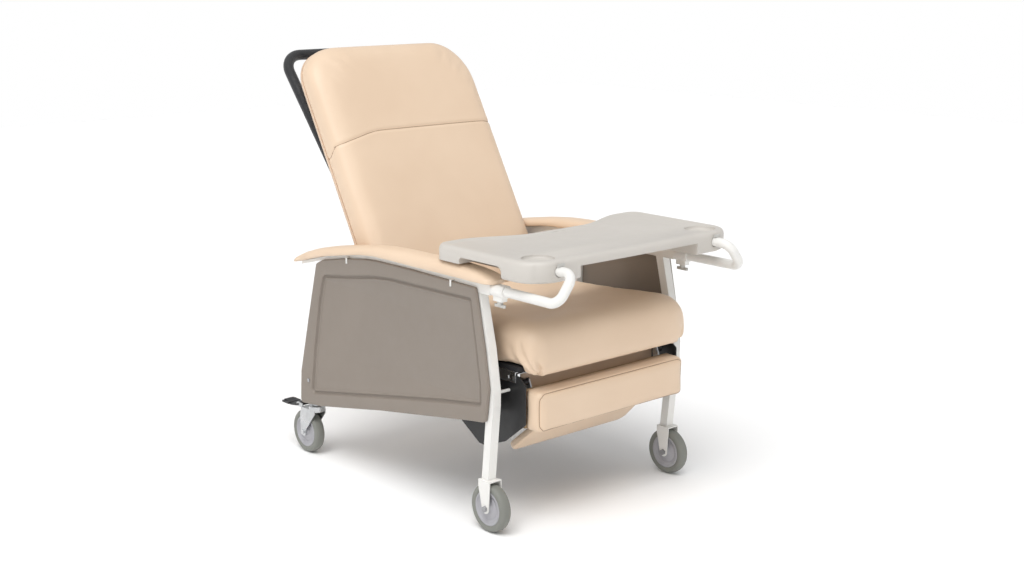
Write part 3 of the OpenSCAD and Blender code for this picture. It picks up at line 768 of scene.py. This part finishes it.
for ob, body, node, fill in ((back, "back", "back_cushion", 0.75), (seat, "frame", "seat_cushion", 0.8),
                             (calf, "calf_rest", "calf_pad", 0.8)):
    ob.data.materials.clear()
    ob.data.materials.append(MAT["vinyl"])
    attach(ob, body)
    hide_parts(node)

# a fine dark strand of painted seam shade lies in each sewn seam: over the back, and round the front of the calf pad


def painted_seam_shade(name, points, r, body, node, closed=False, n=8):
    """A round strand of radius r through the points, coloured with the painted seam shade."""
    verts, faces, count = [], [], len(points)
    for i, p in enumerate(points):
        a = points[i - 1] if (closed or i) else p
        b = points[(i + 1) % count] if (closed or i < count - 1) else p
        t = (b - a).normalized()
        u = t.orthogonal().normalized() if i == 0 else (u - t * u.dot(t)).normalized()
        w = t.cross(u)
        verts += [p + (u * math.cos(2 * math.pi * k / n) + w * math.sin(2 * math.pi * k / n)) * r for k in range(n)]
    for i in range(count if closed else count - 1):
        for k in range(n):
            j, m = (i + 1) % count, (k + 1) % n
            faces.append((i * n + k, i * n + m, j * n + m, j * n + k))
    if not closed:
        faces += [tuple(range(n)), tuple(range((count - 1) * n, count * n))]
    # the strand takes the painted seam shade colour
    ob = build(name, verts, faces, material="painted_seam_shade")
    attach(ob, body)
    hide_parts(node)


def laid(ob, matrix, path, sink):
    """Points of a path, given as (start, direction) pairs in a part's own frame, dropped onto its surface."""
    tree = BVHTree.FromObject(ob, bpy.context.evaluated_depsgraph_get())
    out = []
    for start, direction in path:
        d = (matrix.to_3x3() @ Vector(direction)).normalized()
        hit, *_ = tree.ray_cast(matrix @ Vector(start), d)
        if hit is not None:
            out.append(hit + d * sink)
    return out


bpy.context.view_layer.update()
ASIDE, AHEAD, CALF_AHEAD = 0.36, -0.08, -0.16  # where the rays start, clear of the covers
seam = []
for k in range(12):
    y = 0.052 - 0.004 * k
    seam.append(((-ASIDE, y, seam_height(-ASIDE, y)), (1, 0, 0)))
for k in range(95):
    x = -0.284 + 0.006 * k
    seam.append(((x, AHEAD, seam_height(x, AHEAD)), (0, 1, 0)))
for k in range(12):
    y = 0.008 + 0.004 * k
    seam.append(((ASIDE, y, seam_height(ASIDE, y)), (-1, 0, 0)))
painted_seam_shade("back_seam_painted_shade", laid(back, ON_BACK, seam, 0.0002), 0.0010, "back", "back_cushion")
ring = resample(rounded([(-WELT_HALF, WELT_LOW), (WELT_HALF, WELT_LOW),
                         (WELT_HALF, WELT_HIGH), (-WELT_HALF, WELT_HIGH)], 0.018, 8), 0.006)
welt = laid(calf, ON_CHAIR, [((q.x, CALF_AHEAD, q.y), (0, 1, 0)) for q in ring], 0.0001)
painted_seam_shade("calf_pad_welt_painted_shade", welt, 0.0011, "calf_rest", "calf_pad", True)

# rear of the back: vinyl stapled over the board, with a soft edge
rear = stack("back_rear_cover", resample(back_plan(0.2875, 0.010, 0.798, 0.102, 0.016), 0.03),
             [(0.0, 0.0552), (0.0, 0.061), (0.0012, 0.0635), (0.004, 0.065), (0.012, 0.0648)],
             plane="XZ", matrix=ON_BACK, material="back_vinyl")
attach(rear, "back")
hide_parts("back_board")

# lower foot panel: a thin upholstered board with rounded corners, in the panel's own frame
FOOT_LEN, FOOT_HALF, FOOT_GAP, FOOT_TAPER = 0.143, 0.211, 0.014, 0.02
foot_plan = rounded([(-FOOT_HALF, -FOOT_LEN), (FOOT_HALF, -FOOT_LEN),
                     (FOOT_HALF - FOOT_TAPER, -FOOT_GAP), (FOOT_TAPER - FOOT_HALF, -FOOT_GAP)],
                    [0.026, 0.026, 0.014, 0.014], 12)
foot = stack("foot_panel_vinyl", resample(foot_plan, 0.02),
             [(0.010, 0.010), (0.003, 0.0093), (0.0005, 0.0065), (0.0, 0.0),
              (0.0006, -0.0062), (0.004, -0.0092), (0.014, -0.0100)],
             plane="XZ", matrix=ON_FOOT, material="vinyl")
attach(foot, "foot_panel")
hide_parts("foot_panel_cover", "foot_board")

# ---------------------------------------------------------------- arm pads


def table(points, x):
    """The value at x in a list of (x, value) points, straight between them."""
    for (a, va), (b, vb) in zip(points, points[1:]):
        if x <= b:
            t = max(0.0, (x - a) / (b - a))
            return va + (vb - va) * t
    return points[-1][1]


# height of the pad's underside and of its crown along y
ARM_LOW = [(-0.031, 0.643), (0.44, 0.643), (0.50, 0.6375), (0.545, 0.6295), (0.60, 0.6205), (0.66, 0.610),
           (0.70, 0.601), (0.735, 0.592), (0.770, 0.583), (0.806, 0.573), (0.8355, 0.5655)]
ARM_TOP = [(-0.031, 0.653), (-0.020, 0.6585), (0.0, 0.6650), (0.025, 0.6700), (0.055, 0.6730), (0.09, 0.6750),
           (0.13, 0.6760), (0.20, 0.6760), (0.34, 0.6745), (0.42, 0.6705), (0.50, 0.6612), (0.58, 0.6492),
           (0.66, 0.6350), (0.72, 0.6217), (0.77, 0.6062), (0.806, 0.5912), (0.8355, 0.5745)]
ARM_X, ARM_HALF = 0.326, 0.0362
ARM_EDGE = 0.0012  # the pad's rim over its underside


def arm_pad(side, name):
    """Sections along y, each an arch of n points over two points of the underside."""
    y0, y1, n, m = ARM_LOW[0][0], ARM_LOW[-1][0], 40, 132
    verts, faces = [], []
    for k in range(m + 1):
        t = k / m
        y = y0 + (y1 - y0) * t
        # the plan closes in a round nose and a round tail
        end = min((y - y0) / 0.030, (y1 - y) / 0.026, 1.0)
        w = ARM_HALF * (0.30 + 0.70 * math.sqrt(max(0.0, 1 - (1 - end) ** 2)))
        zb, zt = table(ARM_LOW, y), table(ARM_TOP, y)
        h = zt - zb
        for i in range(n):
            a = math.pi * i / (n - 1)
            c, s = math.cos(a), math.sin(a)
            x = w * math.copysign(abs(c) ** 0.62, c)
            z = zb + ARM_EDGE + (h - ARM_EDGE) * (abs(s) ** 0.72)
            if i in (0, n - 1):
                z = zb + ARM_EDGE
            verts.append((side * (ARM_X + x), y + Y0, z))
        for x in (-0.55 * w, 0.55 * w):
            verts.append((side * (ARM_X + x), y + Y0, zb + 0.0002))
    r = n + 2
    for k in range(m):
        for i in range(r):
            a, b = k * r + i, k * r + (i + 1) % r
            faces.append((a, b, b + r, a + r))
    faces += [tuple(range(r)), tuple(range(m * r, (m + 1) * r))]
    ob = build(name, verts, faces, None, 50, "vinyl")
    relax(ob, 2, 0.4)

    def edge_seam(co, nrm):
        d = co.z - table(ARM_LOW, co.y - Y0) - 0.0065
        wave = 0.0005 * noise.noise(Vector((co.x * 20, co.y * 14, 1.7 * side)))
        return nrm * (-0.0011 * gauss(d, 0.0018) + wave)

    shape(ob, edge_seam)
    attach(ob, "frame")
    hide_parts(name.replace("_cover", ""))


arm_pad(1, "arm_pad_left_cover")
arm_pad(-1, "arm_pad_right_cover")

# ---------------------------------------------------------------- side panels

# corners (y, z) of the panel's outline and of its recess, each with its radius
PANEL = [(-0.016, 0.377), (-0.004, 0.291), (0.060, 0.2815), (0.443, 0.217), (0.718, 0.164), (0.822, 0.152),
         (0.815, 0.249), (0.770, 0.412), (0.722, 0.580), (0.690, 0.595), (0.589, 0.614), (0.496, 0.627),
         (0.447, 0.6305), (0.299, 0.6315), (0.032, 0.6275), (0.0, 0.476)]
PANEL_R = [0.020, 0.014, 0.002, 0.002, 0.002, 0.012, 0.040, 0.080,
           0.014, 0.030, 0.060, 0.060, 0.060, 0.060, 0.008, 0.060]
RECESS = [(0.008, 0.382), (0.008, 0.328), (0.181, 0.299), (0.443, 0.250), (0.768, 0.188), (0.745, 0.330),
          (0.714, 0.478), (0.690, 0.555), (0.580, 0.570), (0.452, 0.591), (0.386, 0.597), (0.045, 0.602),
          (0.024, 0.480)]
RECESS_R = [0.030, 0.014, 0.060, 0.060, 0.016, 0.060, 0.060, 0.024, 0.060, 0.060, 0.060, 0.012, 0.060]
PX = 0.3415  # inner face of the panel
for side, word in ((1, "left"), (-1, "right")):
    outer = resample(rounded([(y + Y0, z) for y, z in PANEL], PANEL_R, 5), 0.05)
    inner = resample(rounded([(y + Y0, z) for y, z in RECESS], RECESS_R, 5), 0.05)
    levels = [(0.004, PX), (0.0, PX), (0.0, PX + 0.0062), (0.0007, PX + 0.0078),
              (0.0022, PX + 0.0088), (0.0042, PX + 0.0090)]
    # the border falls into a groove, and a bead runs round the recess inside it
    steps = [(0.0, PX + 0.0090), (0.0010, PX + 0.0088), (0.0022, PX + 0.0074), (0.0032, PX + 0.0036),
             (0.0044, PX + 0.0022), (0.0080, PX + 0.0018), (0.0094, PX + 0.0026), (0.0108, PX + 0.0050),
             (0.0126, PX + 0.0058), (0.0146, PX + 0.0054), (0.0162, PX + 0.0036), (0.0180, PX + 0.0030)]
    p = stack("side_panel_%s_moulding" % word, outer, [(d, side * h) for d, h in levels], plane="YZ", material="panel",
              hole=(inner, [(d, side * h) for d, h in steps]), sharp=50)
    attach(p, "frame")
    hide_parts("side_panel_" + word)

# ---------------------------------------------------------------- tray

TF, TH, TD = -0.195, 0.359, 0.377  # front edge, half width and depth of the tray
BELOW = 0.60                       # the cutters start here, under the tray
BLOCK = -0.076                     # rear face of the thick front part


def tray_outline():
    pts = rounded([(-TH, TF), (TH, TF), (TH, TF + TD), (-TH, TF + TD)], [0.080, 0.080, 0.036, 0.036], 14)
    # bow the front edge a little and hollow the rear edge for the sitter
    dense = resample(pts, 0.012)
    for p in dense:
        if p.y > TF + TD - 0.05:
            p.y -= 0.062 * (1 - smoothstep(0.085, 0.285, abs(p.x))) * smoothstep(TF + TD - 0.05, TF + TD - 0.002, p.y)
        if p.y < TF + 0.03:
            p.y += 0.004 * smoothstep(0.0, 0.33, abs(p.x))
    return [Vector((p.x, p.y + Y0)) for p in dense]


def arch_cutters(x0, x1):
    """The hollow over an arm pad: open from the front block to the rear corner, with rounded ends, then a low step."""
    front, rear, past = BLOCK + Y0, 0.082 + Y0, 0.23 + Y0
    roof, step = 0.6975, 0.6800
    hollow = rounded([(front, BELOW), (rear, BELOW), (rear, roof), (front, roof)], [0.004, 0.004, 0.010, 0.016], 6)
    corner = [Vector((rear - 0.01, BELOW)), Vector((past, BELOW)), Vector((past, step)), Vector((rear - 0.01, step))]
    made = []
    for poly in (hollow, corner):
        n = len(poly)
        verts = [(x, p.x, p.y) for x in (x0, x1) for p in poly]
        faces = [(i, (i + 1) % n, n + (i + 1) % n, n + i) for i in range(n)] + [tuple(range(n)), tuple(range(n, 2 * n))]
        made.append(build("cutter", verts, faces))
    return made


plan = tray_outline()
tray = stack("tray_moulding", plan,
             [(0.012, 0.6668), (0.005, 0.6676), (0.0015, 0.6705), (0.0, 0.675), (0.0, 0.7055), (0.0012, 0.7115),
              (0.0042, 0.7165), (0.0085, 0.7193), (0.013, 0.7200), (0.0205, 0.7200), (0.0235, 0.7196),
              (0.0262, 0.7184), (0.0290, 0.7180)],
             sharp=60)
CUP = [(0.0, -0.010), (0.034, -0.010), (0.0385, -0.0078), (0.0405, -0.004), (0.0415, 0.012), (0.0, 0.012)]
# two hollows under the middle, then on each side the hollow over the pad, the tube's channel and the cup recess
cutters = [box_cutter((-0.208, TF - 0.03 + Y0, BELOW), (0.208, 0.100 + Y0, 0.6985)),
           box_cutter((-0.262, BLOCK + Y0, BELOW), (0.262, 0.104 + Y0, 0.6980))]
for s in (-1, 1):
    x = sorted((s * 0.275, s * 0.40))
    cutters += arch_cutters(*x)
    cutters.append(rod_cutter((s * 0.277, TF - 0.03 + Y0, 0.694), (s * 0.277, -0.085 + Y0, 0.694), 0.0142))
    cup = lathe("cutter", CUP, (0, 0, 0), None, 72)
    cup.data.transform(Matrix.Translation((s * 0.288, -0.128 + Y0, 0.7190)) @ Matrix.Rotation(-math.pi / 2, 4, "Y"))
    cutters.append(cup)
cut(tray, *cutters)
bevelled(tray, 0.0022, 3, 48)
tray.data.materials.clear()
tray.data.materials.append(MAT["tray"])
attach(tray, "tray")
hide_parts("tray")

# ---------------------------------------------------------------- wheels

TYRE = [(0.0460, -0.0128), (0.0485, -0.0142), (0.0530, -0.0150), (0.0570, -0.0148), (0.0600, -0.0132),
        (0.0620, -0.0102), (0.0630, -0.0060), (0.0635, 0.0), (0.0630, 0.0060), (0.0620, 0.0102),
        (0.0600, 0.0132), (0.0570, 0.0148), (0.0530, 0.0150), (0.0485, 0.0142), (0.0460, 0.0128)]
HUB_SIDE = [(0.0052, 0.0164), (0.0105, 0.0164), (0.0118, 0.0158), (0.0125, 0.0148), (0.0138, 0.0118),
            (0.0160, 0.0098), (0.0200, 0.0090), (0.0290, 0.0088), (0.0300, 0.0078), (0.0312, 0.0078),
            (0.0322, 0.0088), (0.0380, 0.0092), (0.0395, 0.0106), (0.0408, 0.0130), (0.0420, 0.0138),
            (0.0448, 0.0137), (0.0459, 0.0128)]
WHEEL_R, WHEELBASE = 0.0635, 0.818
HUB = [(r, -x) for r, x in HUB_SIDE] + [(r, x) for r, x in reversed(HUB_SIDE)]
for side, word in ((1, "left"), (-1, "right")):
    for end, y in (("front", 0.0), ("rear", WHEELBASE)):
        c = (side * TRACK, y + Y0, WHEEL_R)
        body = "%s_wheel_%s" % (end, word)
        t = lathe("%s_tyre_%s_tread" % (end, word), TYRE, c, "tyre", sharp=60)
        h = lathe("%s_hub_%s_disc" % (end, word), HUB, c, "hub", sharp=45)
        for ob, node, slot in ((t, "tyre", "tyre"), (h, "hub", "hub_plastic")):
            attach(ob, body)
            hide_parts("%s_%s_%s" % (end, node, word))

# ---------------------------------------------------------------- stage, light, camera

floor = build("floor", [(-9, -9, 0), (9, -9, 0), (9, 9, 0), (-9, 9, 0)], [(0, 1, 2, 3)])
fm, _, fb = nodes_of("floor_pale")
fb.inputs["Base Color"].default_value = (1.0, 1.0, 1.0, 1)
fb.inputs["Roughness"].default_value = 1.0
fb.inputs["Specular IOR Level"].default_value = 0.0
floor.data.materials.append(fm)

world = bpy.data.worlds.new("studio")
scene.world = world
world.use_nodes = True
wt = world.node_tree
bg = wt.nodes["Background"]
# white below the horizon, a dimmer even sky above it
split = wt.nodes.new("ShaderNodeSeparateXYZ")
wt.links.new(wt.nodes.new("ShaderNodeTexCoord").outputs["Generated"], split.inputs[0])
sky = wt.nodes.new("ShaderNodeMapRange")
for key, value in (("From Min", 0.0), ("From Max", 0.06), ("To Min", 1.0), ("To Max", 0.58)):
    sky.inputs[key].default_value = value
wt.links.new(split.outputs[2], sky.inputs["Value"])
wt.links.new(sky.outputs["Result"], bg.inputs["Strength"])
bg.inputs["Color"].default_value = (1, 1, 1, 1)

sun_data = bpy.data.lights.new("sun", "SUN")
sun_data.energy = 1.75
sun_data.angle = rad(42)
sun = bpy.data.objects.new("sun", sun_data)
sun.rotation_euler = Vector((0.40, 0.30, -1.0)).to_track_quat("-Z", "Y").to_euler()
scene.collection.objects.link(sun)

key_data = bpy.data.lights.new("key", "AREA")
key_data.shape = "RECTANGLE"
key_data.size, key_data.size_y = 1.2, 2.2
key_data.energy = 16
key = bpy.data.objects.new("key", key_data)
key.location = (-2.6, -0.6, 2.6)
key.rotation_euler = (Vector((0, 0, 0.8)) - key.location).to_track_quat("-Z", "Y").to_euler()
scene.collection.objects.link(key)

cam_data = bpy.data.cameras.new("camera")
cam_data.sensor_width = 36.0
cam_data.lens = 51.42
cam = bpy.data.objects.new("camera", cam_data)
cam.location = (-2.5836, -2.6355 + Y0, 1.42)
cam.rotation_euler = (rad(90 - 12.82), 0, rad(-41.437))
scene.collection.objects.link(cam)
scene.camera = cam
scene.view_settings.view_transform = "Standard"
